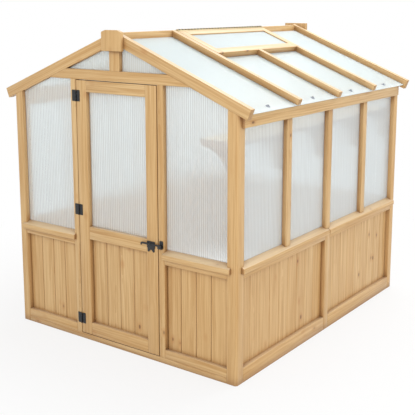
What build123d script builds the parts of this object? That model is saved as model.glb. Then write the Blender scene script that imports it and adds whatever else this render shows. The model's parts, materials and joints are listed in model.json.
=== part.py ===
from build123d import *
from math import cos, radians, sin, sqrt, tan
import os

# A walk-in timber greenhouse with twin-wall sheets, in millimetres.
# The front faces -Y, +Z is up, and the origin lies on the ground under the middle.

# Overall sizes
width = 1900              # across the outer faces of the corner posts
length = 2270             # front face to rear face
ridge_height = 2125       # top edges of the rakes where they meet
roof_pitch = 22           # degrees
eave_depth = 153          # from the roof's top faces, over the posts, to the eave beams' undersides
tie_drop = 318            # from the ridge to the undersides of the gables' tie beams

# Wall timbers
post_side = 73            # square corner posts
post_chamfer = 12         # cut off their outer corners
wall_depth = 42           # rails, jambs, mullions and rakes, outer to inner face
stud_width = 60           # middle posts and mullions
jamb_width = 46           # door jambs, and the rear studs that match them
base_height = 38          # base rails under the front and rear walls
board_bottom = 96         # lower edge of the boarding, above the bottom rails
board_top = 669           # upper edge of the boarding, under the mid rails
mid_rail_height = 35
tie_height = 67
king_width = 85

# Sills
sill_thickness = 32       # at the nose
sill_fall = 26            # from the sheet out to the nose
sill_nose = 22            # beyond the wall face
sill_ear = 27             # over the face of each post beside it
ear_clearance = 2         # from the ears on the door jambs to the hinges' leaves
sill_round = 8

# Sheets and boarding
infill_recess = 30        # from the outer face of the timbers
sheet_thickness = 6
board_thickness = 12

# Roof
rake_depth = 70
rake_overhang = 88        # beyond the corner posts, at the top edge
sheet_setback = 30        # sheets stop short of the rakes' ends
batten_setback = 12       # battens too
sheet_joint = 4           # between neighbouring sheets, under a batten
batten_thickness = 40
batten_width = 42
rafter_depth = 45
rafter_width = 42
ridge_width = 40
ridge_depth = 110
eave_width = 62
eave_projection = 20      # beyond the corner posts

# Boards over the roof's two peaks
apex_thickness = 28
apex_drop = 123           # below the rakes' peak
apex_rise = 9             # above it
front_apex_width = 166
front_apex_flat = 100     # level part of its top
apex_clip = 12            # how far its shoulders fall
rear_apex_width = 200

# Roof vent, on the right slope
vent_foot = 372           # from the ridge line, level, to its lower edge
vent_member = 68          # stiles and rails
vent_gap = 5              # to the ridge beam and to the batten beside it
vent_lap = 20             # roof sheets run under its lower rail
vent_sheet_inset = 8      # below the faces of its frame
strap_width = 14          # piano hinge leaf
strap_thickness = 2
strap_barrel = 4          # radius

# Shelf, on the right wall
shelf_drop = 98           # from the mullions' tops to the shelf's top
shelf_thickness = 18
shelf_depth = 290
bracket_thickness = 28
bracket_height = 222
bracket_nose = 24
bracket_foot = 80
bracket_setback = 12      # behind the shelf's front edge

# Door
door_width = 686
door_stile_width = 90
door_top_rail = 76
door_mid_rail = 87
door_mid_bottom = 726     # underside of the middle rail
door_bottom_rail = 86
hinge_gap = 5
latch_gap = 7
door_gap = 5              # above and below

# Door hinges
hinge_height = 75
hinge_inset = 104         # from the door's top and bottom to a hinge's middle
leaf_width = 35
leaf_thickness = 2.5
barrel_radius = 5
pin_radius = 2.5
pin_stand_off = 5.5       # pin's axis in front of the wall face
pin_clearance = 0.3
knuckle_clearance = 0.5
knuckle_count = 3

# Latch
latch_rise = 64           # from the middle rail's underside to the bar's middle
latch_pivot_inset = 54    # from the door's free edge
latch_plate_width = 64
latch_plate_above = 16    # over the bar's middle
latch_plate_below = 56
latch_plate_thickness = 4
bar_thickness = 6
bar_height = 12
bar_stand_off = 10        # bar's rear face in front of the door
bar_handle = 78           # from the pivot to the handle's end
bar_reach = 88            # from the pivot to the tip
eye_share = 0.75          # the bar's round eye, as a share of the bar's height
handle_drop = 10
handle_width = 9
stud_radius = 5
stud_head_radius = 8
stud_head_thickness = 4
keeper_width = 30
keeper_height = 50
keeper_thickness = 3
keeper_side_gap = 8       # from the jamb's inner edge
keeper_lip = 4
keeper_reach = 24         # from the jamb's face to the front of the lip
keeper_floor = 8
keeper_slack = 5          # under the bar
keeper_lip_height = 19

# Cuts run this far past what they cut
overrun = 50

# Walls turn about the upright axis in steps of this
quarter_turn_degrees = 90

# Worked out from the sizes above
half_width = width / 2
half_length = length / 2
front_end = half_width - post_side
side_end = half_length - post_side
sill_bottom = board_top + mid_rail_height
nose_top = sill_bottom + sill_thickness
sill_back = nose_top + sill_fall
tie_underside = ridge_height - tie_drop
tie_top = tie_underside + tie_height
doorway_half = (door_width + hinge_gap + latch_gap) / 2
door_left = hinge_gap - doorway_half
door_right = door_left + door_width
door_foot = base_height + door_gap
door_head = tie_underside - door_gap
slope = tan(radians(roof_pitch))
eave_underside = ridge_height - slope * half_width - eave_depth
lean = sin(radians(roof_pitch))
upright = cos(radians(roof_pitch))
sheet_under = batten_thickness + sheet_thickness
rafter_under = sheet_under + rafter_depth
ridge_half = ridge_width / 2
roof_end = half_width + rake_overhang
eave_outer = half_width + eave_projection
eave_inner = eave_outer - eave_width
infill_back = infill_recess + sheet_thickness
mullion_place = (side_end + stud_width / 2) / 2
shelf_back = half_width - wall_depth
shelf_top = eave_underside - shelf_drop
latch_height = door_mid_bottom + latch_rise

# Walls: how far each is turned about the upright axis, and how far out it stands
front = (0, half_length)
right = (quarter_turn_degrees, half_width)
rear = (2 * quarter_turn_degrees, half_length)
left = (3 * quarter_turn_degrees, half_width)


def on_wall(wall, shape):
    """Move a shape drawn along, inward of and up a wall's outer face onto that wall."""
    turn, reach = wall
    return Rot(0, 0, turn) * Pos(0, -reach, 0) * shape


def block(along, inward, up):
    """A plain piece between three pairs of limits."""
    limits = (along, inward, up)
    sizes = [high - low for low, high in limits]
    middle = [(low + high) / 2 for low, high in limits]
    return Pos(*middle) * Box(*sizes)


def run_along_x(outline, along):
    """A piece with its outline drawn in Y and Z, run along X."""
    low, high = along
    face = Plane.YZ.offset(low) * make_face(Polyline(*outline, close=True))
    return extrude(face, amount=high - low, dir=(1, 0, 0))


def run_along_y(outline, along):
    """A piece with its outline drawn in X and Z, run along Y."""
    low, high = along
    face = Plane.XZ.offset(-low) * make_face(Polyline(*outline, close=True))
    return extrude(face, amount=high - low, dir=(0, 1, 0))


def roof_height(out, below):
    """Height of the plane that lies square below the roof's top faces, out from the ridge line."""
    return ridge_height - slope * out - below / upright


def roof_strip(side, start, end, upper, lower, along, square_start=False, square_end=True):
    """A piece that lies on the slope of one side, with plumb or square ends."""
    start_lean = (lower - upper) * lean if square_start else 0
    end_lean = (lower - upper) * lean if square_end else 0
    outline = [
        (side * start, roof_height(start, upper)),
        (side * end, roof_height(end, upper)),
        (side * (end - end_lean), roof_height(end - end_lean, lower)),
        (side * (start - start_lean), roof_height(start - start_lean, lower)),
    ]
    return run_along_y(outline, along)


def above_roof(below):
    """All the space over the plane that lies below the roof's top faces."""
    reach = roof_end + overrun
    outline = [
        (-reach, roof_height(reach, below)),
        (0, roof_height(0, below)),
        (reach, roof_height(reach, below)),
        (reach, ridge_height + overrun),
        (-reach, ridge_height + overrun),
    ]
    return run_along_y(outline, (-half_length - overrun, half_length + overrun))


def save(name, shapes):
    """Write one node, with each of its pieces as a solid of its own."""
    solids = [solid for shape in shapes for solid in shape.solids()]
    export_step(Compound(solids), f"parts/{name}.step")


def both_ways(low, high):
    """The same stretch on either side of zero."""
    return [(-high, -low), (low, high)]


os.makedirs("parts", exist_ok=True)

# Bays between the uprights of each wall
upright_edge = doorway_half + jamb_width
front_bays = both_ways(upright_edge, front_end)
rear_bays = front_bays + [(-doorway_half, doorway_half)]
side_bays = both_ways(stud_width / 2, side_end)
bays = [(front, bay) for bay in front_bays]
bays += [(rear, bay) for bay in rear_bays]
bays += [(wall, bay) for wall in (left, right) for bay in side_bays]
gables = (front, rear)
sides = (left, right)

# Rakes, let into the tops of the corner posts
gable_runs = both_ways(half_length - wall_depth, half_length)
rakes = {
    name: [roof_strip(side, 0, roof_end, 0, rake_depth, run) for run in gable_runs]
    for name, side in (("left_rakes", -1), ("right_rakes", 1))
}
for name, pair in rakes.items():
    save(name, pair)

# Eave beams between the rakes, planed to the slope on top
roof_run = (wall_depth - half_length, half_length - wall_depth)
roof_space = above_roof(sheet_under)
eave_levels = (eave_underside, ridge_height)
eave_beam = block((eave_inner, eave_outer), roof_run, eave_levels) - roof_space
save("eave_beams", [eave_beam, mirror(eave_beam, Plane.YZ)])

# Corner posts, notched for the eave beams
post_outline = [
    (front_end, -half_length),
    (half_width - post_chamfer, -half_length),
    (half_width, -half_length + post_chamfer),
    (half_width, -side_end),
    (front_end, -side_end),
]
post = extrude(make_face(Polyline(*post_outline, close=True)), amount=ridge_height, dir=(0, 0, 1))
post = post - roof_space - rakes["right_rakes"][0] - eave_beam
right_posts = [post, mirror(post, Plane.XZ)]
save("corner_posts", right_posts + [mirror(piece, Plane.YZ) for piece in right_posts])

# Other uprights
jamb_runs = both_ways(doorway_half, upright_edge)
jambs = [block(run, (0, wall_depth), (base_height, tie_underside)) for run in jamb_runs]
save("door_jambs", [on_wall(front, jamb) for jamb in jambs])
save("rear_studs", [on_wall(rear, jamb) for jamb in jambs])
middle_post = block((-stud_width / 2, stud_width / 2), (0, wall_depth), (0, eave_underside))
save("middle_posts", [on_wall(wall, middle_post) for wall in sides])

# Rails
base_rail = block((-front_end, front_end), (0, wall_depth), (0, base_height))
save("base_rails", [on_wall(wall, base_rail) for wall in gables])


def bottom_rail(wall, bay):
    foot = base_height if wall in gables else 0
    return on_wall(wall, block(bay, (0, wall_depth), (foot, board_bottom)))


save("bottom_rails", [bottom_rail(wall, bay) for wall, bay in bays])
mid_rail_levels = (board_top, sill_bottom)
save("mid_rails", [on_wall(wall, block(bay, (0, wall_depth), mid_rail_levels)) for wall, bay in bays])


# Sills, falling outwards to a rounded nose, with an ear over the upright at each end
jamb_ear = jamb_width + hinge_gap / 2 - leaf_width - ear_clearance


def ear_over(wall, edge):
    """The ear is shorter on the door jambs and rear studs than on the posts."""
    return jamb_ear if wall in gables and abs(edge) <= upright_edge else sill_ear


def sill(wall, bay):
    low, high = bay
    fall_rate = sill_fall / (infill_recess + sill_nose)
    face_top = sill_back - fall_rate * infill_recess
    body_outline = [
        (0, sill_bottom),
        (wall_depth, sill_bottom),
        (wall_depth, sill_back),
        (infill_recess, sill_back),
        (0, face_top),
    ]
    nose_outline = [
        (-sill_nose, sill_bottom),
        (0, sill_bottom),
        (0, face_top),
        (-sill_nose, nose_top),
    ]
    nose = run_along_x(nose_outline, (low - ear_over(wall, low), high + ear_over(wall, high)))
    nose = fillet(nose.faces().sort_by(Axis.Y)[0].edges(), sill_round)
    return run_along_x(body_outline, bay) + nose


sills = [(wall, bay, on_wall(wall, sill(wall, bay))) for wall, bay in bays]
save("sills", [piece for wall, bay, piece in sills])


def sill_under(wall, bay):
    return next(piece for where, stretch, piece in sills if (where, stretch) == (wall, bay))


# Boarding
names = {front: "front", rear: "rear", left: "left", right: "right"}
board_run = (infill_recess, infill_recess + board_thickness)
for wall, name in names.items():
    panels = [block(bay, board_run, (board_bottom, board_top)) for where, bay in bays if where == wall]
    save(f"{name}_boards", [on_wall(wall, panel) for panel in panels])

# Mullions and wall sheets
sheet_run = (infill_recess, infill_back)
mullions = []
side_windows = []
for wall in sides:
    for bay in side_bays:
        low, high = bay
        middle = (low + high) / 2
        edges = (middle - stud_width / 2, middle + stud_width / 2)
        mullion = on_wall(wall, block(edges, (0, wall_depth), (sill_bottom, eave_underside)))
        mullions.append(mullion - sill_under(wall, bay))
        side_windows += [(wall, bay, (low, edges[0])), (wall, bay, (edges[1], high))]
save("mullions", mullions)

gable_space = above_roof(rake_depth)
for wall in gables:
    panes = []
    for where, bay in bays:
        if where == wall:
            pane = on_wall(wall, block(bay, sheet_run, (sill_bottom, tie_underside)))
            panes.append(pane - sill_under(wall, bay) - gable_space)
    save(f"{names[wall]}_panes", panes)
for wall in sides:
    panes = []
    for where, bay, window in side_windows:
        if where == wall:
            pane = on_wall(wall, block(window, sheet_run, (sill_bottom, eave_underside)))
            panes.append(pane - sill_under(wall, bay))
    save(f"{names[wall]}_panes", panes)

# Gables: a tie over the doorway, a king post and two three-cornered sheets
tie = block((-front_end, front_end), (0, wall_depth), (tie_underside, tie_top))
king = block((-king_width / 2, king_width / 2), (0, wall_depth), (tie_top, ridge_height))
gable_bays = both_ways(king_width / 2, front_end)
gable_panes = [block(run, sheet_run, (tie_top, ridge_height)) for run in gable_bays]
save("tie_beams", [on_wall(wall, tie) - gable_space for wall in gables])
save("king_posts", [on_wall(wall, king) - gable_space for wall in gables])
save("gable_panes", [on_wall(wall, pane) - gable_space for wall in gables for pane in gable_panes])

# Apex boards
apex_top = ridge_height + apex_rise
apex_foot = ridge_height - apex_drop
front_apex_outline = [
    (-front_apex_width / 2, apex_foot),
    (front_apex_width / 2, apex_foot),
    (front_apex_width / 2, apex_top - apex_clip),
    (front_apex_flat / 2, apex_top),
    (-front_apex_flat / 2, apex_top),
    (-front_apex_width / 2, apex_top - apex_clip),
]
front_apex = run_along_y(front_apex_outline, (-half_length - apex_thickness, -half_length))
rear_apex_edges = (-rear_apex_width / 2, rear_apex_width / 2)
rear_apex = block(rear_apex_edges, (half_length, half_length + apex_thickness), (apex_foot, apex_top))
save("apex_boards", [front_apex, rear_apex])

# Ridge beam
ridge_top = roof_height(ridge_half, 0)
ridge_beam = block((-ridge_half, ridge_half), roof_run, (ridge_top - ridge_depth, ridge_top))
save("ridge_beam", [ridge_beam])

# Rafters over the mullions and middle posts, with the right middle one cut short for the vent
rafter_lines = (-mullion_place, 0, mullion_place)


def strip_at(line, breadth):
    return (line - breadth / 2, line + breadth / 2)


def rafter(side, line, start):
    run = strip_at(line, rafter_width)
    return roof_strip(side, start, eave_inner, sheet_under, rafter_under, run, square_end=False)


rafters = [rafter(-1, line, ridge_half) for line in rafter_lines]
rafters += [rafter(1, line, vent_foot if line == 0 else ridge_half) for line in rafter_lines]
save("rafters", rafters)
trimmer_run = (rafter_width / 2 - mullion_place, mullion_place - rafter_width / 2)
trimmer_ends = (vent_foot - vent_member, vent_foot)
trimmer = roof_strip(1, *trimmer_ends, sheet_under, rafter_under, trimmer_run, square_end=False)
save("vent_trimmer", [trimmer])

# Roof sheets, one to a bay, and the battens that hold their edges down
sheet_edges = (roof_run[0], *rafter_lines, roof_run[1])
sheet_end = roof_end - sheet_setback
batten_end = roof_end - batten_setback


def roof_sheet(side, bay):
    low, high = sheet_edges[bay], sheet_edges[bay + 1]
    low += sheet_joint / 2 if low in rafter_lines else 0
    high -= sheet_joint / 2 if high in rafter_lines else 0
    under_vent = side > 0 and rafter_lines[0] <= sheet_edges[bay] < rafter_lines[-1]
    start = vent_foot - vent_lap if under_vent else ridge_half
    return roof_strip(side, start, sheet_end, batten_thickness, sheet_under, (low, high))


for name, side in (("left", -1), ("right", 1)):
    save(f"{name}_roof_sheets", [roof_sheet(side, bay) for bay in range(len(sheet_edges) - 1)])


def batten(side, line):
    start = vent_foot if side > 0 and line > rafter_lines[0] else ridge_half
    run = strip_at(line, batten_width)
    return roof_strip(side, start, batten_end, 0, batten_thickness, run, square_start=start == vent_foot)


save("battens", [batten(side, line) for side in (-1, 1) for line in rafter_lines])

# Roof vent: a framed sheet from the ridge down over the two middle bays
vent_start = ridge_half + vent_gap
vent_run = (batten_width / 2 + vent_gap - mullion_place, mullion_place + batten_width / 2)
vent_inner = (vent_run[0] + vent_member, vent_run[1] - vent_member)


def vent_piece(start, end, upper, lower, run):
    return roof_strip(1, start, end, upper, lower, run, square_start=start > vent_start)


vent_sides = ((vent_run[0], vent_inner[0]), (vent_inner[1], vent_run[1]))
save("vent_stiles", [vent_piece(vent_start, vent_foot, 0, batten_thickness, run) for run in vent_sides])
rail_step = vent_member * upright
rail_ends = ((vent_start, vent_start + rail_step), (vent_foot - rail_step, vent_foot))
save("vent_rails", [vent_piece(start, end, 0, batten_thickness, vent_inner) for start, end in rail_ends])
vent_sheet_under = vent_sheet_inset + sheet_thickness
inset_lean = vent_sheet_inset * lean
vent_sheet_ends = (rail_ends[0][1] - inset_lean, rail_ends[1][0] - inset_lean)
save("vent_sheet", [vent_piece(*vent_sheet_ends, vent_sheet_inset, vent_sheet_under, vent_inner)])

barrel_rise = sqrt(strap_barrel**2 - (vent_gap / 2) ** 2) + pin_clearance
barrel_place = Pos(ridge_half + vent_gap / 2, vent_run[0], ridge_top + barrel_rise)
vent_length = vent_run[1] - vent_run[0]
align_start = (Align.CENTER, Align.CENTER, Align.MIN)
barrel_turn = Rot(-quarter_turn_degrees, 0, 0)
barrel = barrel_place * barrel_turn * Cylinder(strap_barrel, vent_length, align=align_start)
ridge_leaf_top = ridge_top + strap_thickness
ridge_leaf = block((ridge_half - strap_width, ridge_half), vent_run, (ridge_top, ridge_leaf_top))
vent_leaf = roof_strip(1, vent_start - vent_gap / 2, vent_start + strap_width, -strap_thickness, 0, vent_run)
save("vent_hinge", [barrel + ridge_leaf + vent_leaf])

# Shelf on the right wall, carried by brackets with a hollow curve
shelf_front = shelf_back - shelf_depth
shelf_low = shelf_top - shelf_thickness
save("shelf", [block((shelf_front, shelf_back), (-side_end, side_end), (shelf_low, shelf_top))])
nose_out = shelf_front + bracket_setback
nose_low = shelf_low - bracket_nose
bracket_low = shelf_low - bracket_height
foot_in = shelf_back - bracket_foot
bracket_edge = Polyline(
    (foot_in, bracket_low),
    (shelf_back, bracket_low),
    (shelf_back, shelf_low),
    (nose_out, shelf_low),
    (nose_out, nose_low),
)
hollow_radii = (foot_in - nose_out, nose_low - bracket_low)
hollow_middle = (nose_out, bracket_low)
hollow = EllipticalCenterArc(hollow_middle, *hollow_radii, start_angle=0, arc_size=quarter_turn_degrees)
bracket_face = Plane.XZ * make_face([bracket_edge, hollow])
bracket = extrude(bracket_face, amount=bracket_thickness, dir=(0, 1, 0))
end_starts = (-side_end, side_end - bracket_thickness)
bracket_starts = [line - bracket_thickness / 2 for line in rafter_lines] + list(end_starts)
save("shelf_brackets", [Pos(0, start, 0) * bracket for start in bracket_starts])

# Door
door_inner = (door_left + door_stile_width, door_right - door_stile_width)
stile_runs = ((door_left, door_inner[0]), (door_inner[1], door_right))
door_depth = (0, wall_depth)
mid_top = door_mid_bottom + door_mid_rail
lower_panel = (door_foot + door_bottom_rail, door_mid_bottom)
upper_panel = (mid_top, door_head - door_top_rail)
rail_levels = ((door_foot, lower_panel[0]), (door_mid_bottom, mid_top), (upper_panel[1], door_head))
door_stiles = [block(run, door_depth, (door_foot, door_head)) for run in stile_runs]
door_rails = [block(door_inner, door_depth, levels) for levels in rail_levels]
save("door_stiles", [on_wall(front, piece) for piece in door_stiles])
save("door_rails", [on_wall(front, piece) for piece in door_rails])
save("door_boards", [on_wall(front, block(door_inner, board_run, lower_panel))])
save("door_pane", [on_wall(front, block(door_inner, sheet_run, upper_panel))])

# Door hinges: the jamb's leaf carries the pin and two knuckles, the door's leaf the one between
pin_along = hinge_gap / 2 - doorway_half
knuckle_height = hinge_height / knuckle_count
leaf_inner = barrel_radius + knuckle_clearance
leaf_depth = (-leaf_thickness, 0)
tab_depth = (-leaf_thickness, barrel_radius - pin_stand_off)


def knuckle(radius, foot, height):
    return Pos(pin_along, -pin_stand_off, foot) * Cylinder(radius, height, align=align_start)


def leaf_plate(side, foot):
    edges = sorted((pin_along + side * leaf_inner, pin_along + side * leaf_width))
    return block(edges, leaf_depth, (foot, foot + hinge_height))


def leaf_tab(side, foot, height):
    edges = sorted((pin_along, pin_along + side * leaf_inner))
    return block(edges, tab_depth, (foot, foot + height))


def jamb_leaf(foot):
    shape = leaf_plate(-1, foot) + knuckle(pin_radius, foot, hinge_height)
    for start in (foot, foot + hinge_height - knuckle_height):
        shape = shape + leaf_tab(-1, start, knuckle_height) + knuckle(barrel_radius, start, knuckle_height)
    return shape


def door_leaf(foot):
    start = foot + knuckle_height + knuckle_clearance
    height = knuckle_height - 2 * knuckle_clearance
    shape = leaf_plate(1, foot) + leaf_tab(1, start, height) + knuckle(barrel_radius, start, height)
    return shape - knuckle(pin_radius + pin_clearance, foot, hinge_height)


hinge_middles = (door_foot + hinge_inset, (door_foot + door_head) / 2, door_head - hinge_inset)
hinge_feet = [middle - hinge_height / 2 for middle in hinge_middles]
save("hinge_jamb_leaves", [on_wall(front, jamb_leaf(foot)) for foot in hinge_feet])
save("hinge_door_leaves", [on_wall(front, door_leaf(foot)) for foot in hinge_feet])

# Latch: a plate with a stud on the door, a bar that lifts about the stud, and a keeper on the jamb
pivot = door_right - latch_pivot_inset
bar_front = bar_stand_off + bar_thickness
bar_depth = (-bar_front, -bar_stand_off)


def outward_pin(radius, near, far):
    """A round pin at the latch's pivot, between two distances in front of the door."""
    pin = Rot(quarter_turn_degrees, 0, 0) * Cylinder(radius, far - near, align=align_start)
    return Pos(pivot, -near, latch_height) * pin


plate_edges = (pivot - latch_plate_width / 2, pivot + latch_plate_width / 2)
plate_levels = (latch_height - latch_plate_below, latch_height + latch_plate_above)
plate = block(plate_edges, (-latch_plate_thickness, 0), plate_levels)
plate = fillet(plate.edges().filter_by(Axis.Y), latch_plate_above / 2)
head_start = bar_front + pin_clearance
stud = outward_pin(stud_radius, 0, head_start)
stud_shoulder = outward_pin(stud_head_radius, 0, bar_stand_off - pin_clearance)
stud_head = outward_pin(stud_head_radius, head_start, head_start + stud_head_thickness)
save("latch_plate", [on_wall(front, plate + stud + stud_shoulder + stud_head)])

bar_levels = (latch_height - bar_height / 2, latch_height + bar_height / 2)
bar = block((pivot - bar_handle, pivot + bar_reach), bar_depth, bar_levels)
handle_edges = (pivot - bar_handle, pivot - bar_handle + handle_width)
handle = block(handle_edges, bar_depth, (bar_levels[0] - handle_drop, bar_levels[0]))
bar_eye = outward_pin(bar_height * eye_share, bar_stand_off, bar_front)
bar_bore = outward_pin(stud_radius + pin_clearance, 0, bar_front + overrun)
save("latch_bar", [on_wall(front, bar + handle + bar_eye - bar_bore)])

keeper_edges = (doorway_half + keeper_side_gap, doorway_half + keeper_side_gap + keeper_width)
keeper_floor_top = bar_levels[0] - keeper_slack
keeper_foot = keeper_floor_top - keeper_floor
keeper_plate = block(keeper_edges, (-keeper_thickness, 0), (keeper_foot, keeper_foot + keeper_height))
keeper_base = block(keeper_edges, (-keeper_reach, 0), (keeper_foot, keeper_floor_top))
lip_levels = (keeper_foot, keeper_floor_top + keeper_lip_height)
keeper_hook = block(keeper_edges, (-keeper_reach, keeper_lip - keeper_reach), lip_levels)
save("latch_keeper", [on_wall(front, keeper_plate + keeper_base + keeper_hook)])
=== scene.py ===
import json
import math
import random

import bmesh
import bpy
import numpy as np
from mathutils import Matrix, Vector

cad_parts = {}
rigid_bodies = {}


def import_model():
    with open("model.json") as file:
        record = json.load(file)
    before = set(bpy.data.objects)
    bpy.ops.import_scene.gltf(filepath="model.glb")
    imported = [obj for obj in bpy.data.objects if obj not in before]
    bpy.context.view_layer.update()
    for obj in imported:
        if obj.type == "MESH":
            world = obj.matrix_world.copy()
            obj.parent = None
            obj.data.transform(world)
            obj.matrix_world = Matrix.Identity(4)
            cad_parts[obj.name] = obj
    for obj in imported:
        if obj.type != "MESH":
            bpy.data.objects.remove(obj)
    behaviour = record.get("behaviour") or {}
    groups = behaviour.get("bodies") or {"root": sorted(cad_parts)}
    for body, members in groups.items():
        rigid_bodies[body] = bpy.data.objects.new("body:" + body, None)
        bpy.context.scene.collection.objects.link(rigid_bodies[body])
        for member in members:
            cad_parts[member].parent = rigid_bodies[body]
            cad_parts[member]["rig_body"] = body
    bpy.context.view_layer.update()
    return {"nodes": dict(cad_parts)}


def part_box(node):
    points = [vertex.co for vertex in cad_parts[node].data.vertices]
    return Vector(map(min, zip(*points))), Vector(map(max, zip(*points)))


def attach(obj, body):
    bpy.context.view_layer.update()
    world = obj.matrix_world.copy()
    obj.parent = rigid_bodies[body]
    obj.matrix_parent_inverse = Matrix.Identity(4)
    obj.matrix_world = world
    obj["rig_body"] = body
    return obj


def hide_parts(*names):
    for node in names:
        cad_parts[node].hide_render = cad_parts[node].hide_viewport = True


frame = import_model()

# A walk-in timber greenhouse with twin-wall sheets, in metres.
# The front faces -Y, +Z is up, and the origin lies on the ground under the middle.

# Axes, and places on the CAD solids that the other pieces keep to
X, Y, Z = Vector((1, 0, 0)), Vector((0, 1, 0)), Vector((0, 0, 1))
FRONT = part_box("base_rails")[0].y
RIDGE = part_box("right_rakes")[1].z
PITCH = math.radians(22)
SHEET_BELOW = 0.040         # from the battens' top faces down to the roof sheets

# Making of meshes
WELD = 0.00002              # corners closer than this are one
UPRIGHT = 0.9               # Z of an axis that counts as upright
FLAT_ANGLE = math.radians(1)
EASE_ANGLE = math.radians(35)
CURVE_ANGLE = math.radians(25)
EASE_SEGMENTS = 2
NARROW = 0.0045             # faces narrower than this belong to a rounded edge
CORNER_STEPS = 5            # in the quarter circle of a rounded corner

# Grain of each piece
draw = random.Random(23)
HEART_NEAR, HEART_FAR = 0.03, 0.11  # from the middle of a piece to the heart of its tree
GRAIN_RUN = 40              # pieces are cut anywhere along this length of grain
END_FACING = 0.8            # faces turned this far along the grain are end grain

# Timbers and boarding
TIMBER_EASE = 0.0018
SHELF_EASE = 0.0015
BOARD_WIDTH = 0.120
BOARD_CHAMFER = 0.0032
BOARD_SLIT = 0.0020         # open joint in front of the tongues
BOARD_LAP = 0.0001          # behind it, boards run this far past the seam
TONGUE_DEPTH = 0.0065
FRONT_SEAMS = {
    "front_boards": ((-0.757, -0.641, -0.530), (0.503, 0.623, 0.738)),
    "door_boards": ((-0.129, -0.010, 0.111),),
}

# Sheets
FLUTE_PITCH = 0.016
FLUTE_STEPS = 6
FLUTE_DEPTH = 0.0008
LEANING = 0.1               # Z of the normal of a sheet that isn't upright
UPRIGHT_EDGE = 1e-7         # sideways run of an outline's edge that counts as none
ON_EDGE = 1e-6

# Screws: a dome with a recess, sunk into the surface
SCREW_RADIUS = 0.0039
SCREW_CROWN = 0.0031
SCREW_HEIGHT = 0.0004
SCREW_SUNK = 0.002
SCREW_STEPS = 16
SCREW_PROUD = 0.0002        # screws in metal stand out by this
RECESS_RADIUS = 0.0014
RECESS_FLOOR = 0.0009
RECESS_DEPTH = 0.001

# Roof fixings: a washer under a six-sided head at the foot of each sheet, and screws along the battens
WASHER_RADIUS = 0.0145
WASHER_RIM = 0.0015
WASHER_SHOULDER = (0.0120, 0.0042)
WASHER_TOP = 0.0070
WASHER_HEIGHT = 0.0050
WASHER_STEPS = 20
HEAD_RADIUS = 0.0058
HEAD_HEIGHT = 0.0060
HEAD_CHAMFER = 0.0012
HEAD_SIDES = 6
WASHER_OUT = 0.965          # from the ridge line, level
WASHER_PLACES = (-0.84, -0.29, 0.26, 0.81)
BATTEN_PLACES = (-0.546, 0.0, 0.546)
BATTEN_SCREWS_OUT = (0.46, 0.71, 0.96)

# Door hinges
KNUCKLE_RADIUS = 0.005
KNUCKLE_CHAMFER = 0.0006
KNUCKLE_GAP = 0.0004        # at each end of a knuckle
KNUCKLE_STEPS = 20
PIN_OUT = 0.0055            # in front of the wall
LEAF_CLEAR = 0.0056         # from the pin to the flat of a leaf
LEAF_THICKNESS = 0.0025
LEAF_CORNER = 0.004
LEAF_EASE = 0.0006
TAB_THICKNESS = 0.002       # strip that joins a knuckle to its leaf
LEAF_SCREW_INSET = 0.012
LEAF_SCREW_OUT = 0.002
LEAF_SCREW_STAGGER = 0.004

# Door latch: its plate, whose outline is given for the left half, in from the side and up from the foot
PIVOT_X, PIVOT_Z = 0.288, 0.790
PLATE_THICKNESS = 0.004
PLATE_CORNER = 0.004
PLATE_FOOT = ((0.0, 0.030), (0.004, 0.024), (0.004, 0.006), (0.010, 0.0), (0.018, 0.004))
PLATE_NOTCH_HALF, PLATE_NOTCH_HEIGHT = 0.004, 0.016
PLATE_SCREW_IN = 0.010
PLATE_SCREWS_UP = (0.011, 0.038)
LATCH_EASE = 0.0012

# The boss that the bar turns on, as (radius, out from the wall), with a neck that fits the bar
BOSS = (
    (0, 0), (0.0115, 0), (0.0105, 0.004), (0.008, 0.0057), (0.008, 0.0097), (0.005, 0.0097),
    (0.005, 0.0163), (0.008, 0.0163), (0.0078, 0.0185), (0.0058, 0.0200), (0, 0.0203),
)
BOSS_STEPS = 24

# The latch bar's outline, as (along, up) from its tip, its pivot and its curled tail
BAR_TIP = ((-0.003, -0.0055), (0.0, -0.002), (0.0, 0.003), (-0.004, 0.006))
BAR_EYE_TOP = ((0.012, 0.006), (0.006, 0.0085), (0.0, 0.009), (-0.006, 0.0085), (-0.012, 0.006))
BAR_EYE_UNDER = ((-0.012, -0.0055), (-0.006, -0.0085), (0.0, -0.009), (0.006, -0.0085), (0.012, -0.0055))
BAR_CURL_TOP = ((0.014, 0.006), (0.006, 0.004), (0.001, -0.001), (0.0, -0.008))
BAR_CURL_END = ((0.001, 0.003), (0.004, 0.0), (0.008, 0.001))  # up from the bar's lowest point
BAR_CURL_UNDER = ((0.009, -0.009), (0.012, -0.006), (0.018, -0.005))

# The latch keeper, and the side view of its prong as (in from its front, up from its foot)
KEEPER_THICKNESS = 0.003
KEEPER_CORNER = 0.006
KEEPER_EASE = 0.0009
KEEPER_SCREWS_DOWN = (0.008, 0.020)
PRONG = (
    (0.004, 0.0), (0.0, 0.004), (0.0, 0.027), (0.002, 0.027), (0.004, 0.024), (0.004, 0.010), (0.006, 0.008),
)
LEDGE_THICKNESS = 0.008
HOOK_EASE = 0.0008

# Piano hinge of the roof vent, with places out from the ridge line
VENT_KNUCKLES = 61
VENT_KNUCKLE_RADIUS = 0.004
VENT_KNUCKLE_GAP = 0.001    # between neighbours
VENT_KNUCKLE_STEPS = 14
VENT_BARREL_OUT = 0.0225
RIDGE_HALF = 0.020          # half the width of the ridge beam
RIDGE_LEAF_FROM, RIDGE_LEAF_TO = 0.006, 0.021
SLOPE_LEAF_FROM, SLOPE_LEAF_TO = 0.0225, 0.0389
VENT_LEAF_THICKNESS = 0.0018
VENT_LEAF_EASE = 0.0005

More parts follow.
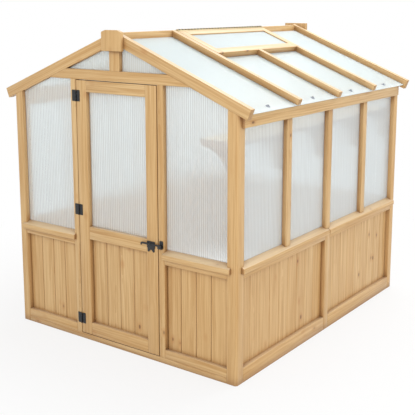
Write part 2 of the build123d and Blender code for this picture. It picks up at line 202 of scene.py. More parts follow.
# Studio
WHITE = (1.0, 1.0, 1.0, 1.0)
WORLD_LEVEL = 0.70
FLOOR_HALF = 30.0
FLOOR_DROP = 0.0005
FLOOR_GREY = (0.82, 0.82, 0.82, 1.0)
SHADOW_NEAR, SHADOW_FAR = 1.4, 3.2  # the floor's own shading fades out between these
GLOW_NEAR = 0.80            # share of plain white in the floor beside the building
LAMP_WIDTH = 4.0
LAMPS = (
    ("key", (2.2, -6.4, 4.0), (0, 0, 1.0), 130),
    ("fill", (6.5, 0.5, 3.4), (0, 0, 1.0), 70),
    ("top", (0.6, 2.4, 6.2), (0, 0, 1.2), 215),
)

# Camera at the photograph's angle, turned down a little because its lens has less shift
PHOTO_WIDTH = 415           # pixels
PHOTO_FOCAL = 827.75        # pixels
SENSOR_WIDTH = 36           # millimetres
CAMERA_SHIFT = -0.13
CAMERA_PLACE = (3.5767, -5.0419, 2.2998)
CAMERA_DIP = 0.1797         # radians below level
CAMERA_TURN = 0.6293        # radians from straight at the front


def srgb(red, green, blue):
    """A screen colour in 0-255 as the linear colour that shaders use."""
    parts = []
    for value in (red, green, blue):
        share = value / 255
        parts.append(share / 12.92 if share <= 0.04045 else ((share + 0.055) / 1.055) ** 2.4)
    return (*parts, 1.0)


# Materials
class Shader:
    """A material, with short ways to add its nodes."""

    def __init__(self, name):
        self.material = bpy.data.materials.new(name)
        self.material.use_nodes = True
        self.tree = self.material.node_tree
        self.tree.nodes.clear()
        self.output = self.add("ShaderNodeOutputMaterial")

    def add(self, kind, inputs=None, **settings):
        node = self.tree.nodes.new(kind)
        for name, value in settings.items():
            setattr(node, name, value)
        for name, value in (inputs or {}).items():
            if isinstance(value, bpy.types.NodeSocket):
                self.tree.links.new(value, node.inputs[name])
            else:
                node.inputs[name].default_value = value
        return node

    def attribute(self, name, output="Vector"):
        return self.add("ShaderNodeAttribute", attribute_name=name).outputs[output]

    def math(self, operation, first, second=0.0, third=0.0):
        return self.add("ShaderNodeMath", {0: first, 1: second, 2: third}, operation=operation).outputs[0]

    def vector_math(self, operation, first, second):
        return self.add("ShaderNodeVectorMath", {0: first, 1: second}, operation=operation).outputs[0]

    def stretch(self, vector, scale):
        return self.vector_math("MULTIPLY", vector, scale)

    def noise(self, vector, scale, detail=2.0, roughness=0.5):
        values = {"Vector": vector, "Scale": scale, "Detail": detail, "Roughness": roughness}
        return self.add("ShaderNodeTexNoise", values).outputs["Fac"]

    def fade(self, value, low, high, start=0.0, end=1.0):
        values = {"Value": value, "From Min": low, "From Max": high, "To Min": start, "To Max": end}
        return self.add("ShaderNodeMapRange", values, interpolation_type="SMOOTHSTEP").outputs["Result"]

    def mix(self, share, first, second):
        return self.add("ShaderNodeMix", {0: share, 6: first, 7: second}, data_type="RGBA").outputs[2]

    def paint(self, colour, place, strength, over):
        """A colour with another one over it, where place is 1."""
        return self.mix(self.math("MULTIPLY", place, strength), colour, over)

    def bump(self, height, strength, distance):
        values = {"Height": height, "Strength": strength, "Distance": distance}
        return self.add("ShaderNodeBump", values).outputs["Normal"]

    def blend(self, share, first, second):
        return self.add("ShaderNodeMixShader", {0: share, 1: first.outputs[0], 2: second.outputs[0]})

    def surface(self, node):
        self.tree.links.new(node.outputs[0], self.output.inputs["Surface"])
        return self.material


def backdrop_ray(tree):
    """1 for rays that see a backdrop, straight or through or off something shiny."""
    path = tree.nodes.new("ShaderNodeLightPath")
    total = path.outputs["Is Camera Ray"]
    for name in ("Is Glossy Ray", "Is Transmission Ray"):
        node = tree.nodes.new("ShaderNodeMath")
        node.operation = "MAXIMUM"
        tree.links.new(total, node.inputs[0])
        tree.links.new(path.outputs[name], node.inputs[1])
        total = node.outputs[0]
    return total


def timber_material():
    """Planed pine: growth rings, streaks, fibres and small knots along each piece's own length, with a
    painted highlight on faces that look up and painted shade in reveals and joints.
    """
    shader = Shader("honey_pine")
    grain = shader.attribute("grain")
    tint = shader.attribute("tint", "Fac")
    end = shader.attribute("end", "Fac")

    # Grain that sways a little
    sway = shader.add("ShaderNodeTexNoise", {"Vector": shader.stretch(grain, (1.1, 5.0, 5.0)), "Scale": 1.0})
    bent = shader.vector_math("ADD", grain, shader.stretch(sway.outputs["Color"], (0.0, 0.035, 0.035)))
    rings = shader.add(
        "ShaderNodeTexWave",
        {"Vector": bent, "Scale": 26.0, "Distortion": 1.2, "Detail": 2.0, "Detail Scale": 0.6},
        wave_type="RINGS",
        rings_direction="X",
        wave_profile="SAW",
    ).outputs["Fac"]
    late = shader.fade(rings, low=0.35, high=1.0)
    streaks = shader.noise(shader.stretch(bent, (1.6, 75.0, 75.0)), scale=1.0, detail=4.0, roughness=0.6)
    fibres = shader.noise(shader.stretch(grain, (22.0, 1100.0, 1100.0)), scale=1.0)
    clouds = shader.noise(shader.stretch(grain, (1.4, 9.0, 9.0)), scale=1.0)
    shade = shader.math("MULTIPLY_ADD", late, 0.24, shader.fade(streaks, 0.34, 0.70, end=0.56))
    shade = shader.math("MULTIPLY_ADD", fibres, 0.22, shade)
    shade = shader.math("MULTIPLY_ADD", shader.fade(clouds, 0.3, 0.75), 0.18, shade)

    # Knots in some of the cells
    cells = {"Vector": shader.stretch(bent, (6.5, 12.0, 12.0)), "Scale": 1.0}
    knots = shader.add("ShaderNodeTexVoronoi", cells)
    pick = shader.add("ShaderNodeSeparateColor", {0: knots.outputs["Color"]}).outputs[0]
    chosen = shader.math("GREATER_THAN", pick, 0.58)
    core = shader.math("MULTIPLY", shader.fade(knots.outputs["Distance"], 0.13, 0.06), chosen)
    halo = shader.math("MULTIPLY", shader.fade(knots.outputs["Distance"], 0.32, 0.10), chosen)

    # Faces that look up get a painted highlight, and reveals and joints get painted shade from ambient
    # occlusion
    facing = shader.add("ShaderNodeNewGeometry").outputs["Normal"]
    upward = shader.add("ShaderNodeSeparateXYZ", {0: facing}).outputs[2]
    painted_top_highlight = shader.fade(upward, 0.70, 0.90)
    openness = shader.add("ShaderNodeAmbientOcclusion", {"Distance": 0.08}, samples=8).outputs["AO"]
    painted_nook_shade = shader.fade(openness, 0.92, 0.34)

    colour = shader.mix(shade, srgb(229, 196, 143), srgb(186, 140, 82))
    for place, strength, over in (
        (halo, 0.45, srgb(186, 124, 66)),
        (core, 0.86, srgb(96, 58, 30)),
        (tint, 0.34, srgb(208, 163, 102)),
        (end, 0.55, srgb(156, 112, 66)),
        # painted highlight on faces that look up
        (painted_top_highlight, 0.55, srgb(233, 212, 178)),
        # painted shade in reveals and joints, from ambient occlusion
        (painted_nook_shade, 0.54, srgb(126, 74, 36)),
    ):
        colour = shader.paint(colour, place, strength, over)

    height = shader.math("MULTIPLY_ADD", fibres, 0.7, shader.math("MULTIPLY", late, 0.5))
    values = {
        "Base Color": colour,
        "Roughness": shader.math("MULTIPLY_ADD", streaks, 0.14, 0.36),
        "Normal": shader.bump(height, strength=0.35, distance=0.0004),
        "Specular IOR Level": 0.5,
    }
    return shader.surface(shader.add("ShaderNodeBsdfPrincipled", values))


def sheet_material(name, milky, webbed, haze, web_cover, through_share, gloss, blur):
    """Twin-wall sheet: clear plastic that bends what is behind it, covered in part by milk.

    The milk is thicker at the webs and in faint streaks along the flutes. Lamps shine through the
    sheet without bending and meet less of the milk, so that the inside is lit.
    """
    shader = Shader(name)
    grain = shader.attribute("grain")
    across = shader.add("ShaderNodeSeparateXYZ", {0: grain}).outputs[1]
    place = shader.math("FRACT", shader.math("DIVIDE", across, FLUTE_PITCH))
    off_middle = shader.math("ABSOLUTE", shader.math("SUBTRACT", place, 0.5))
    web = shader.fade(off_middle, 0.24, 0.34)
    streaks = shader.noise(shader.stretch(grain, (0.0, 60.0, 0.0)), scale=1.0, detail=3.0)
    lines = shader.math("MULTIPLY_ADD", web, 0.7, shader.fade(streaks, 0.35, 0.72, end=0.3))

    colour = shader.mix(lines, milky, webbed)
    front = shader.add("ShaderNodeBsdfDiffuse", {"Color": colour})
    through = shader.add("ShaderNodeBsdfTranslucent", {"Color": colour})
    milk = shader.blend(through_share, front, through)

    clear_tint = (0.975, 0.985, 0.98, 1.0)
    lamp_ray = shader.add("ShaderNodeLightPath").outputs["Is Shadow Ray"]
    bending = {"Color": clear_tint, "IOR": 1.30, "Roughness": blur}
    bent = shader.add("ShaderNodeBsdfRefraction", bending)
    straight = shader.add("ShaderNodeBsdfTransparent", {"Color": clear_tint})
    clear = shader.blend(lamp_ray, bent, straight)

    cover = shader.math("MULTIPLY_ADD", lines, web_cover, haze)
    lit_through = shader.math("MULTIPLY_ADD", lamp_ray, -0.42, 1.0)
    sheet = shader.blend(shader.math("MULTIPLY", cover, lit_through), clear, milk)

    sheen = shader.add("ShaderNodeBsdfGlossy", {"Color": WHITE, "Roughness": 0.22})
    facing = shader.add("ShaderNodeLayerWeight", {"Blend": 0.5}).outputs["Facing"]
    edge_on = shader.math("POWER", facing, 4.0)
    mirrored = shader.math("MULTIPLY", shader.math("MULTIPLY_ADD", edge_on, 0.9, 0.05), gloss)
    return shader.surface(shader.blend(mirrored, sheet, sheen))


def hardware_material(name, low, high, metallic, roughness, speckle):
    """Coated steel, bare metal or rubber with a fine uneven finish."""
    shader = Shader(name)
    place = shader.add("ShaderNodeTexCoord").outputs["Object"]
    patches = shader.noise(place, scale=60.0, detail=3.0)
    grit = shader.noise(place, scale=speckle)
    values = {
        "Base Color": shader.mix(patches, low, high),
        "Roughness": shader.math("MULTIPLY_ADD", grit, 0.18, roughness),
        "Metallic": metallic,
        "Normal": shader.bump(grit, strength=0.12, distance=0.0003),
    }
    return shader.surface(shader.add("ShaderNodeBsdfPrincipled", values))


def floor_material():
    """Pale floor that keeps the building's shadow and passes into the white backdrop."""
    shader = Shader("studio_floor")
    matte = shader.add("ShaderNodeBsdfDiffuse", {"Color": FLOOR_GREY})
    glow = shader.add("ShaderNodeEmission", {"Color": WHITE, "Strength": 1.0})
    spot = shader.add("ShaderNodeNewGeometry").outputs["Position"]
    away = shader.add("ShaderNodeVectorMath", {0: spot}, operation="LENGTH").outputs["Value"]
    plain = shader.fade(away, SHADOW_NEAR, SHADOW_FAR, start=GLOW_NEAR)
    share = shader.math("MULTIPLY", backdrop_ray(shader.tree), plain)
    return shader.surface(shader.blend(share, matte, glow))


PINE = timber_material()
WALL_SHEET = sheet_material(
    "twin_wall_sheet", srgb(250, 253, 253), srgb(240, 246, 250),
    haze=0.27, web_cover=0.20, through_share=0.15, gloss=1.0, blur=0.24,
)
# The side walls carry the same sheets as the front, with more milk so that they look brighter: painted
# brightness in place of the sheen that the side walls catch
BRIGHTENED_SIDE_SHEET = sheet_material(
    "side_sheet_painted_bright", srgb(249, 254, 255), srgb(239, 248, 254),
    haze=0.36, web_cover=0.18, through_share=0.15, gloss=1.0, blur=0.12,
)
GABLE_SHEET = sheet_material(
    "gable_sheet", srgb(237, 238, 234), srgb(224, 229, 230),
    haze=0.48, web_cover=0.16, through_share=0.15, gloss=0.6, blur=0.24,
)
ROOF_SHEET = sheet_material(
    "opal_roof_sheet", srgb(240, 248, 250), srgb(234, 243, 246),
    haze=0.78, web_cover=0.10, through_share=0.60, gloss=0.4, blur=0.24,
)
BLACK = hardware_material(
    "black_coated_steel", srgb(20, 22, 24), srgb(36, 38, 41), metallic=0.0, roughness=0.36, speckle=900.0,
)
BRASS = hardware_material(
    "dull_brass", srgb(176, 158, 116), srgb(206, 188, 146), metallic=0.35, roughness=0.34, speckle=700.0,
)
ZINC = hardware_material(
    "zinc_screws", srgb(140, 143, 147), srgb(178, 181, 185), metallic=1.0, roughness=0.32, speckle=700.0,
)
RUBBER = hardware_material(
    "grey_washers", srgb(142, 147, 158), srgb(168, 173, 183), metallic=0.0, roughness=0.62, speckle=600.0,
)


# Mesh making
def islands(bm):
    """The separate solids in a mesh, each as a mesh of its own, in a fixed order."""
    bm.verts.index_update()
    bm.verts.ensure_lookup_table()
    home = [-1] * len(bm.verts)
    count = 0
    for start in bm.verts:
        if home[start.index] >= 0:
            continue
        queue = [start]
        home[start.index] = count
        while queue:
            for edge in queue.pop().link_edges:
                for near in edge.verts:
                    if home[near.index] < 0:
                        home[near.index] = count
                        queue.append(near)
        count += 1
    pieces = [bmesh.new() for _ in range(count)]
    made = [pieces[home[v.index]].verts.new(v.co) for v in bm.verts]
    for face in bm.faces:
        pieces[home[face.verts[0].index]].faces.new([made[v.index] for v in face.verts])
    return pieces


def solids_of(name):
    """Copies of a CAD node's solids, with their flat faces whole."""
    bm = bmesh.new()
    bm.from_mesh(frame["nodes"][name].data)
    bmesh.ops.remove_doubles(bm, verts=bm.verts, dist=WELD)
    bmesh.ops.dissolve_limit(bm, angle_limit=FLAT_ANGLE, verts=bm.verts, edges=bm.edges)
    return islands(bm)


def body_of(node):
    """The body that a CAD node rides on."""
    return frame["nodes"][node]["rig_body"]


def corners(bm):
    """The lowest and highest corner of a mesh's box."""
    places = np.array([v.co for v in bm.verts])
    return Vector(places.min(0)), Vector(places.max(0))


def longest_edge(bm):
    """The direction of a mesh's longest edge."""
    edge = max(bm.edges, key=lambda e: round(e.calc_length(), 5))
    return (edge.verts[1].co - edge.verts[0].co).normalized()


def ease(bm, width):
    """Round a piece's sharp edges and mark its curves for smooth shading."""
    bm.normal_update()
    sharp = [e for e in bm.edges if len(e.link_faces) == 2 and e.calc_face_angle(0.0) > EASE_ANGLE]
    bmesh.ops.bevel(
        bm, geom=sharp, offset=width, offset_type="OFFSET", segments=EASE_SEGMENTS, profile=0.5,
        affect="EDGES", clamp_overlap=True,
    )
    bm.normal_update()
    for face in bm.faces:
        longest = max(e.calc_length() for e in face.edges)
        angles = [e.calc_face_angle(0.0) for e in face.edges if len(e.link_faces) == 2]
        bends = sum(FLAT_ANGLE < angle < CURVE_ANGLE for angle in angles)
        face.smooth = face.calc_area() / longest < NARROW or bends >= 2
    return bm


class Build:
    """Collects solids into one mesh, each with its own grain, tint and end faces."""

    def __init__(self):
        self.verts, self.faces, self.smooth = [], [], []
        self.grain, self.tint, self.end = [], [], []

    def add(self, bm, along=None, across=None):
        """Take in a solid. Where across is given, the grain keeps its place in that direction."""
        axis = (along or longest_edge(bm)).normalized()
        side = across or axis.cross(Z if abs(axis.z) < UPRIGHT else X)
        side.normalize()
        up = side.cross(axis)
        low, high = corners(bm)
        middle = (low + high) / 2
        turn = draw.uniform(0, math.tau)
        heart = draw.uniform(HEART_NEAR, HEART_FAR)
        shift = Vector((draw.uniform(0, GRAIN_RUN), heart * math.cos(turn), heart * math.sin(turn)))
        tint = draw.random()
        if across:
            shift = Vector((draw.uniform(0, GRAIN_RUN), middle.dot(side), 0))
        first = len(self.verts)
        bm.verts.index_update()
        bm.normal_update()
        for vert in bm.verts:
            away = vert.co - middle
            self.verts.append(tuple(vert.co))
            self.grain.append(tuple(Vector((away.dot(axis), away.dot(side), away.dot(up))) + shift))
            self.tint.append(tint)
        for face in bm.faces:
            self.faces.append([first + v.index for v in face.verts])
            self.smooth.append(face.smooth)
            self.end.append(1.0 if abs(face.normal.dot(axis)) > END_FACING else 0.0)
        bm.free()

    def make(self, name, material, body, slot, nodes=()):
        """Turn what was taken in into a piece that rides on a body."""
        mesh = bpy.data.meshes.new(name)
        mesh.from_pydata(self.verts, [], self.faces)
        for key, kind, domain, values in (
            ("grain", "FLOAT_VECTOR", "POINT", self.grain),
            ("tint", "FLOAT", "POINT", self.tint),
            ("end", "FLOAT", "FACE", self.end),
        ):
            layer = mesh.attributes.new(key, kind, domain)
            field = "vector" if kind == "FLOAT_VECTOR" else "value"
            layer.data.foreach_set(field, np.array(values).ravel())
        mesh.polygons.foreach_set("use_smooth", self.smooth)
        mesh.materials.append(material)
        mesh.update()
        piece = bpy.data.objects.new(name, mesh)
        bpy.context.scene.collection.objects.link(piece)
        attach(piece, body)
        if nodes:
            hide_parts(*nodes)


def prism(outline, origin, across, up, along, length):
    """A solid with a flat outline drawn in two directions and run along a third."""
    bm = bmesh.new()
    ends = []
    for run in (0.0, length):
        ends.append([bm.verts.new(origin + across * a + up * b + along * run) for a, b in outline])
    bm.faces.new(ends[0])
    bm.faces.new(list(reversed(ends[1])))
    count = len(outline)
    for i in range(count):
        j = (i + 1) % count
        bm.faces.new((ends[0][j], ends[0][i], ends[1][i], ends[1][j]))
    bmesh.ops.recalc_face_normals(bm, faces=bm.faces)
    return bm


def lathe(profile, origin, axis, steps, smooth=True):
    """A solid turned from (radius, height) points about an axis."""
    axis = axis.normalized()
    side = axis.cross(Z if abs(axis.z) < UPRIGHT else X).normalized()
    other = axis.cross(side)
    bm = bmesh.new()
    rings = []
    for radius, height in profile:
        base = origin + axis * height
        if radius == 0:
            rings.append([bm.verts.new(base)])
            continue
        ring = []
        for i in range(steps):
            angle = math.tau * i / steps
            spoke = side * radius * math.cos(angle)
            ring.append(bm.verts.new(base + spoke + other * radius * math.sin(angle)))
        rings.append(ring)
    for lower, upper in zip(rings, rings[1:]):
        for i in range(steps):
            j = (i + 1) % steps
            loop = [
                lower[i % len(lower)], lower[j % len(lower)], upper[j % len(upper)], upper[i % len(upper)],
            ]
            loop = [v for k, v in enumerate(loop) if v not in loop[:k]]
            face = bm.faces.new(loop)
            face.smooth = smooth
    bmesh.ops.recalc_face_normals(bm, faces=bm.faces)
    return bm


def round_rect(left, right, low, high, radius):
    """An outline with rounded corners."""
    points = []
    for x, y, start in (
        (right - radius, high - radius, 0), (left + radius, high - radius, 90),
        (left + radius, low + radius, 180), (right - radius, low + radius, 270),
    ):
        for i in range(CORNER_STEPS + 1):
            angle = math.radians(start + 90 * i / CORNER_STEPS)
            points.append((x + radius * math.cos(angle), y + radius * math.sin(angle)))
    return points


def placed(points, across, up):
    """Points of an outline, moved to a place."""
    return [(across + a, up + b) for a, b in points]


# Timbers: the CAD solids with eased edges and a grain of their own
TIMBERS = (
    "base_rails", "battens", "bottom_rails", "corner_posts", "door_jambs", "eave_beams", "king_posts",
    "left_rakes", "mid_rails", "middle_posts", "mullions", "rafters", "rear_studs", "ridge_beam",
    "right_rakes", "shelf", "shelf_brackets", "sills", "tie_beams", "vent_rails", "vent_stiles",
    "vent_trimmer", "apex_boards", "door_stiles", "door_rails",
)
for node in TIMBERS:
    build = Build()
    for solid in solids_of(node):
        along = Z if node == "apex_boards" else longest_edge(solid)
        width = SHELF_EASE if node in ("shelf_brackets", "shelf") else TIMBER_EASE
        build.add(ease(solid, width), along)
    build.make(f"{node}_timber", PINE, body_of(node), "timber", (node,))


# Boarding: tongue-and-groove boards with V-joints on both faces
def board(start, stop, outer, inner, origin, across, depth, rise):
    """One upright board between two seams, chamfered along both faces' edges."""
    left, right = start + BOARD_SLIT / 2, stop - BOARD_SLIT / 2
    left_flat, right_flat = left + BOARD_CHAMFER, right - BOARD_CHAMFER
    left_lap, right_lap = start - BOARD_LAP, stop + BOARD_LAP
    tongue = outer + TONGUE_DEPTH
    outline = [
        (left, outer + BOARD_CHAMFER), (left_flat, outer), (right_flat, outer),
        (right, outer + BOARD_CHAMFER), (right, tongue), (right_lap, tongue),
        (right_lap, inner - BOARD_CHAMFER), (right_flat, inner), (left_flat, inner),
        (left_lap, inner - BOARD_CHAMFER), (left_lap, tongue), (left, tongue),
    ]
    return prism(outline, origin, across, depth, Z, rise)


for node in ("front_boards", "rear_boards", "left_boards", "right_boards", "door_boards"):
    build = Build()
    for index, solid in enumerate(solids_of(node)):
        low, high = corners(solid)
        solid.free()
        across, depth = (X, Y) if high.x - low.x > high.y - low.y else (Y, X)
        first, last = low.dot(across), high.dot(across)
        if node in FRONT_SEAMS:
            seams = [first, *FRONT_SEAMS[node][index], last]
        else:
            count = round((last - first) / BOARD_WIDTH)
            seams = [first + (last - first) * i / count for i in range(count + 1)]
        near, far = low.dot(depth), high.dot(depth)
        for start, stop in zip(seams, seams[1:]):
            build.add(board(start, stop, near, far, Z * low.z, across, depth, high.z - low.z), Z)
    build.make(f"{node}_tongue_and_groove", PINE, body_of(node), "timber", (node,))


# Sheets: twin-wall slabs with shallow flutes on both faces
def span_at(outline, place):
    """How far an outline of (sideways, lengthways) points reaches lengthways at one sideways place."""
    hits = []
    for (s0, t0), (s1, t1) in zip(outline, outline[1:] + outline[:1]):
        if abs(s1 - s0) < UPRIGHT_EDGE:
            hits += [t0, t1] if abs(place - s0) < ON_EDGE else []
        elif min(s0, s1) - ON_EDGE <= place <= max(s0, s1) + ON_EDGE:
            hits.append(t0 + (t1 - t0) * (place - s0) / (s1 - s0))
    return min(hits), max(hits)


def fluted(solid):
    """A fluted copy of a flat slab, with its flutes running up the wall or down the roof.

    The flutes stay flat-shaded, because normals averaged with the ends would bend what shows through.
    """
    solid.normal_update()
    broad = max(solid.faces, key=lambda f: round(f.calc_area(), 6))
    normal = broad.normal.copy()
    if normal.z < -LEANING or (abs(normal.z) < LEANING and normal.x + normal.y < 0):
        normal.negate()
    along = (Z - normal * Z.dot(normal)).normalized()
    across = along.cross(normal).normalized()
    outline = [(v.co.dot(across), v.co.dot(along)) for v in broad.verts]
    depths = [v.co.dot(normal) for v in solid.verts]
    back, face = min(depths), max(depths)
    edges = [s for s, t in outline]
    first, last = min(edges), max(edges)

    step = FLUTE_PITCH / FLUTE_STEPS
    stops = [first + step * i for i in range(int((last - first) / step) + 1)] + edges
    stops = sorted(set(round(s, 5) for s in stops))
    stops = [min(max(s, first), last) for s in stops]
    bm = bmesh.new()
    columns = []
    for s in stops:
        dip = FLUTE_DEPTH * (0.5 - 0.5 * math.cos(math.tau * s / FLUTE_PITCH))
        low, high = span_at(outline, s)
        places = ((low, face - dip), (high, face - dip), (high, back + dip), (low, back + dip))
        columns.append([bm.verts.new(across * s + along * t + normal * d) for t, d in places])
    for one, two in zip(columns, columns[1:]):
        for i in range(4):
            j = (i + 1) % 4
            bm.faces.new((one[i], one[j], two[j], two[i]))
    bm.faces.new(columns[0])
    bm.faces.new(columns[-1])
    bmesh.ops.remove_doubles(bm, verts=bm.verts, dist=WELD)
    bmesh.ops.recalc_face_normals(bm, faces=bm.faces)
    return bm, along, across


SHEETS = {
    "front_panes": WALL_SHEET,
    "rear_panes": WALL_SHEET,
    "left_panes": BRIGHTENED_SIDE_SHEET,
    "right_panes": BRIGHTENED_SIDE_SHEET,
    "gable_panes": GABLE_SHEET,
    "left_roof_sheets": ROOF_SHEET,
    "right_roof_sheets": ROOF_SHEET,
    "vent_sheet": ROOF_SHEET,
    "door_pane": WALL_SHEET,
}
for node, material in SHEETS.items():
    build = Build()
    for solid in solids_of(node):
        shape, along, across = fluted(solid)
        solid.free()
        build.add(shape, along, across)
    build.make(f"{node}_fluted", material, body_of(node), "twin_wall_sheet", (node,))


# Roof fixings
SCREW = (
    (0, -RECESS_DEPTH), (RECESS_FLOOR, -RECESS_DEPTH), (RECESS_RADIUS, SCREW_HEIGHT),
    (SCREW_CROWN, SCREW_HEIGHT), (SCREW_RADIUS, 0.0), (SCREW_RADIUS, -SCREW_SUNK), (0, -SCREW_SUNK),
)
WASHER = (
    (0, 0.0), (WASHER_RADIUS, 0.0), (WASHER_RADIUS, WASHER_RIM), WASHER_SHOULDER,
    (WASHER_TOP, WASHER_HEIGHT), (0, WASHER_HEIGHT),
)
HEAD_TOP = WASHER_HEIGHT + HEAD_HEIGHT
HEX_HEAD = (
    (0, WASHER_HEIGHT), (HEAD_RADIUS, WASHER_HEIGHT), (HEAD_RADIUS, HEAD_TOP - HEAD_CHAMFER),
    (HEAD_RADIUS - HEAD_CHAMFER, HEAD_TOP), (0, HEAD_TOP),
)


def screw(place, axis):
    """A screw's head, sunk along an axis."""
    return lathe(SCREW, place, axis, SCREW_STEPS)


def roof_point(side, out, along, below=0.0):
    """A place on one slope, out from the ridge line and square below the top faces."""
    return Vector((side * out, along, RIDGE - math.tan(PITCH) * out - below / math.cos(PITCH)))


def roof_normal(side):
    """The direction square to one slope."""
    return Vector((side * math.sin(PITCH), 0, math.cos(PITCH)))


screws, washers, heads = Build(), Build(), Build()
for side in (-1, 1):
    up = roof_normal(side)
    for along in WASHER_PLACES:
        spot = roof_point(side, WASHER_OUT, along, SHEET_BELOW)
        washers.add(lathe(WASHER, spot, up, WASHER_STEPS))
        heads.add(lathe(HEX_HEAD, spot, up, HEAD_SIDES, smooth=False))
    for along in BATTEN_PLACES:
        for out in BATTEN_SCREWS_OUT:
            screws.add(screw(roof_point(side, out, along), up))
washers.make("roof_washers", RUBBER, "building", "black_steel")
heads.make("roof_screw_heads", ZINC, "building", "bare_steel")
screws.make("timber_screws", ZINC, "building", "bare_steel")


# Door hinges
def knuckle(foot, axis, length, radius, steps):
    """A hinge's knuckle, chamfered at both ends."""
    inner = radius - KNUCKLE_CHAMFER
    profile = (
        (0, 0.0), (inner, 0.0), (radius, KNUCKLE_CHAMFER),
        (radius, length - KNUCKLE_CHAMFER), (inner, length), (0, length),
    )
    return lathe(profile, foot, axis, steps)


def hinge_leaf(build, solid, side):
    """A leaf with rounded corners, its knuckles and three screws, made to the CAD leaf's limits."""
    low, high = corners(solid)
    solid.free()
    pin = high.x - KNUCKLE_RADIUS if side < 0 else low.x + KNUCKLE_RADIUS
    far = low.x if side < 0 else high.x
    near = pin + side * LEAF_CLEAR
    left, right = min(near, far), max(near, far)
    front = FRONT - LEAF_THICKNESS
    outline = round_rect(left, right, low.z, high.z, LEAF_CORNER)
    build.add(ease(prism(outline, Y * front, X, Z, Y, LEAF_THICKNESS), LEAF_EASE))

    third = (high.z - low.z) / 3
    spans = [(low.z + third, high.z - third)]
    if side < 0:
        spans = [(low.z, low.z + third), (high.z - third, high.z)]
    tab_left, tab_right = min(pin, near), max(pin, near)
    for start, stop in spans:
        foot, top = start + KNUCKLE_GAP, stop - KNUCKLE_GAP
        place = Vector((pin, FRONT - PIN_OUT, foot))
        build.add(knuckle(place, Z, top - foot, KNUCKLE_RADIUS, KNUCKLE_STEPS))
        tab = [(tab_left, foot), (tab_right, foot), (tab_right, top), (tab_left, top)]
        build.add(prism(tab, Y * front, X, Z, Y, TAB_THICKNESS))

    middle = (left + right) / 2 + side * LEAF_SCREW_OUT
    heights = (low.z + LEAF_SCREW_INSET, (low.z + high.z) / 2, high.z - LEAF_SCREW_INSET)
    for z, push in zip(heights, (-1, 1, -1)):
        x = middle + side * push * LEAF_SCREW_STAGGER
        build.add(screw(Vector((x, front - SCREW_PROUD, z)), -Y))


for node, side in (("hinge_jamb_leaves", -1), ("hinge_door_leaves", 1)):
    build = Build()
    for solid in solids_of(node):
        hinge_leaf(build, solid, side)
    build.make(f"{node}_black", BLACK, body_of(node), "black_steel", (node,))


# Door latch
def latch_plate():
    """The plate on the door, with two feet, the boss and four screws."""
    low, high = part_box("latch_plate")
    middle = (low.x + high.x) / 2
    half = [(low.x + PLATE_CORNER, high.z), (low.x, high.z - PLATE_CORNER)]
    half += placed(PLATE_FOOT, low.x, low.z)
    half.append((middle - PLATE_NOTCH_HALF, low.z + PLATE_NOTCH_HEIGHT))
    outline = half + [(low.x + high.x - x, z) for x, z in reversed(half)]
    front = FRONT - PLATE_THICKNESS
    build = Build()
    build.add(ease(prism(outline, Y * front, X, Z, Y, PLATE_THICKNESS), LATCH_EASE))
    build.add(lathe(BOSS, Vector((PIVOT_X, FRONT, PIVOT_Z)), -Y, BOSS_STEPS))
    for x in (low.x + PLATE_SCREW_IN, high.x - PLATE_SCREW_IN):
        for rise in PLATE_SCREWS_UP:
            build.add(screw(Vector((x, front - SCREW_PROUD, low.z + rise)), -Y))
    build.make("latch_plate_black", BLACK, "door", "black_steel", ("latch_plate",))


def latch_bar():
    """The bar that lifts, with an eye at its pivot and a curled tail."""
    low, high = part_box("latch_bar")
    outline = placed(BAR_TIP, high.x, PIVOT_Z)
    outline += placed(BAR_EYE_TOP, PIVOT_X, PIVOT_Z)
    outline += placed(BAR_CURL_TOP, low.x, PIVOT_Z)
    outline += placed(BAR_CURL_END, low.x, low.z)
    outline += placed(BAR_CURL_UNDER, low.x, PIVOT_Z)
    outline += placed(BAR_EYE_UNDER, PIVOT_X, PIVOT_Z)
    build = Build()
    build.add(ease(prism(outline, Y * low.y, X, Z, Y, high.y - low.y), LATCH_EASE))
    build.make("latch_bar_black", BLACK, "latch", "black_steel", ("latch_bar",))


def latch_keeper():
    """The keeper on the jamb: a plate and the hook that the bar drops into."""
    low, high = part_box("latch_keeper")
    front = FRONT - KEEPER_THICKNESS
    build = Build()
    outline = round_rect(low.x, high.x, low.z, high.z, KEEPER_CORNER)
    build.add(ease(prism(outline, Y * front, X, Z, Y, KEEPER_THICKNESS), KEEPER_EASE))
    hook = [(0.0, 0.0), *placed(PRONG, low.y - FRONT, 0.0), (0.0, LEDGE_THICKNESS)]
    origin = Vector((low.x, FRONT, low.z))
    build.add(ease(prism(hook, origin, Y, Z, X, high.x - low.x), HOOK_EASE))
    for drop in KEEPER_SCREWS_DOWN:
        build.add(screw(Vector(((low.x + high.x) / 2, front - SCREW_PROUD, high.z - drop)), -Y))
    build.make("latch_keeper_black", BLACK, "building", "black_steel", ("latch_keeper",))


latch_plate()
latch_bar()
latch_keeper()


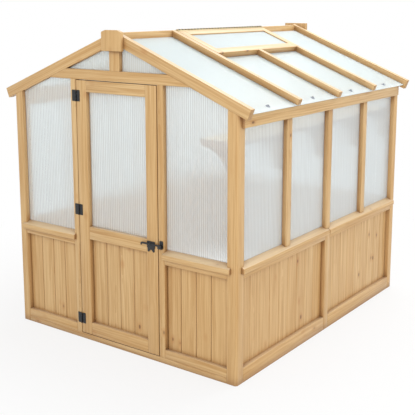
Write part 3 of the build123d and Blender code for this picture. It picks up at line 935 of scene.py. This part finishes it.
# Piano hinge along the top of the roof vent
def vent_hinge():
    """Brass knuckles by turns with black ones, which are painted shade for the slots between knuckles, and
    two leaves: one on the ridge and one on the slope.
    """
    low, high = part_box("vent_hinge")
    length = high.y - low.y
    run = length / VENT_KNUCKLES
    barrel = Vector((VENT_BARREL_OUT, low.y, high.z - VENT_KNUCKLE_RADIUS))
    light, painted_shade_knuckles = Build(), Build()
    for i in range(VENT_KNUCKLES):
        foot = barrel + Y * (run * i + VENT_KNUCKLE_GAP / 2)
        shape = knuckle(foot, Y, run - VENT_KNUCKLE_GAP, VENT_KNUCKLE_RADIUS, VENT_KNUCKLE_STEPS)
        # every other knuckle is black: painted shade for the slots of the hinge
        (light if i % 2 == 0 else painted_shade_knuckles).add(shape)
    painted_shade_knuckles.make("vent_hinge_painted_shade_knuckles", BLACK, "building", "black_steel")

    ridge_top = RIDGE - math.tan(PITCH) * RIDGE_HALF
    ridge_leaf = [Vector((out, 0, ridge_top)) for out in (RIDGE_LEAF_FROM, RIDGE_LEAF_TO)]
    slope_leaf = [roof_point(1, out, 0) for out in (SLOPE_LEAF_FROM, SLOPE_LEAF_TO)]
    for (start, stop), up in ((ridge_leaf, Z), (slope_leaf, roof_normal(1))):
        rise = up * VENT_LEAF_THICKNESS
        outline = [(p.x, p.z) for p in (start, stop, stop + rise, start + rise)]
        light.add(ease(prism(outline, Y * low.y, X, Z, Y, length), VENT_LEAF_EASE))
    light.make("vent_hinge_steel", BRASS, "building", "bare_steel", ("vent_hinge",))


vent_hinge()


# Studio
def studio_world():
    """White behind the building, and a softer level for the light that it gives."""
    world = bpy.data.worlds.new("studio")
    bpy.context.scene.world = world
    world.use_nodes = True
    tree = world.node_tree
    background = tree.nodes["Background"]
    background.inputs["Color"].default_value = WHITE
    level = tree.nodes.new("ShaderNodeMapRange")
    level.inputs["To Min"].default_value = WORLD_LEVEL
    level.inputs["To Max"].default_value = 1.0
    tree.links.new(backdrop_ray(tree), level.inputs["Value"])
    tree.links.new(level.outputs["Result"], background.inputs["Strength"])


def studio_floor():
    """A wide floor just under the building."""
    mesh = bpy.data.meshes.new("floor")
    places = [(x * FLOOR_HALF, y * FLOOR_HALF, 0) for x, y in ((-1, -1), (1, -1), (1, 1), (-1, 1))]
    mesh.from_pydata(places, [], [(0, 1, 2, 3)])
    mesh.materials.append(floor_material())
    floor = bpy.data.objects.new("floor", mesh)
    floor.location = (0, 0, -FLOOR_DROP)
    bpy.context.scene.collection.objects.link(floor)


def studio_lamp(name, place, target, power):
    """A square soft lamp turned towards a target."""
    data = bpy.data.lights.new(name, "AREA")
    data.shape = "SQUARE"
    data.size = LAMP_WIDTH
    data.energy = power
    lamp = bpy.data.objects.new(name, data)
    lamp.location = place
    lamp.rotation_euler = (Vector(target) - Vector(place)).to_track_quat("-Z", "Y").to_euler()
    bpy.context.scene.collection.objects.link(lamp)


def photo_camera():
    """A camera that shows the building as the photograph does."""
    data = bpy.data.cameras.new("camera")
    data.lens = PHOTO_FOCAL / PHOTO_WIDTH * SENSOR_WIDTH
    data.shift_y = CAMERA_SHIFT
    camera = bpy.data.objects.new("camera", data)
    camera.location = CAMERA_PLACE
    camera.rotation_euler = (math.pi / 2 - CAMERA_DIP, 0, CAMERA_TURN)
    bpy.context.scene.collection.objects.link(camera)
    bpy.context.scene.camera = camera


studio_world()
studio_floor()
for lamp in LAMPS:
    studio_lamp(*lamp)
photo_camera()
bpy.context.scene.view_settings.view_transform = "Standard"
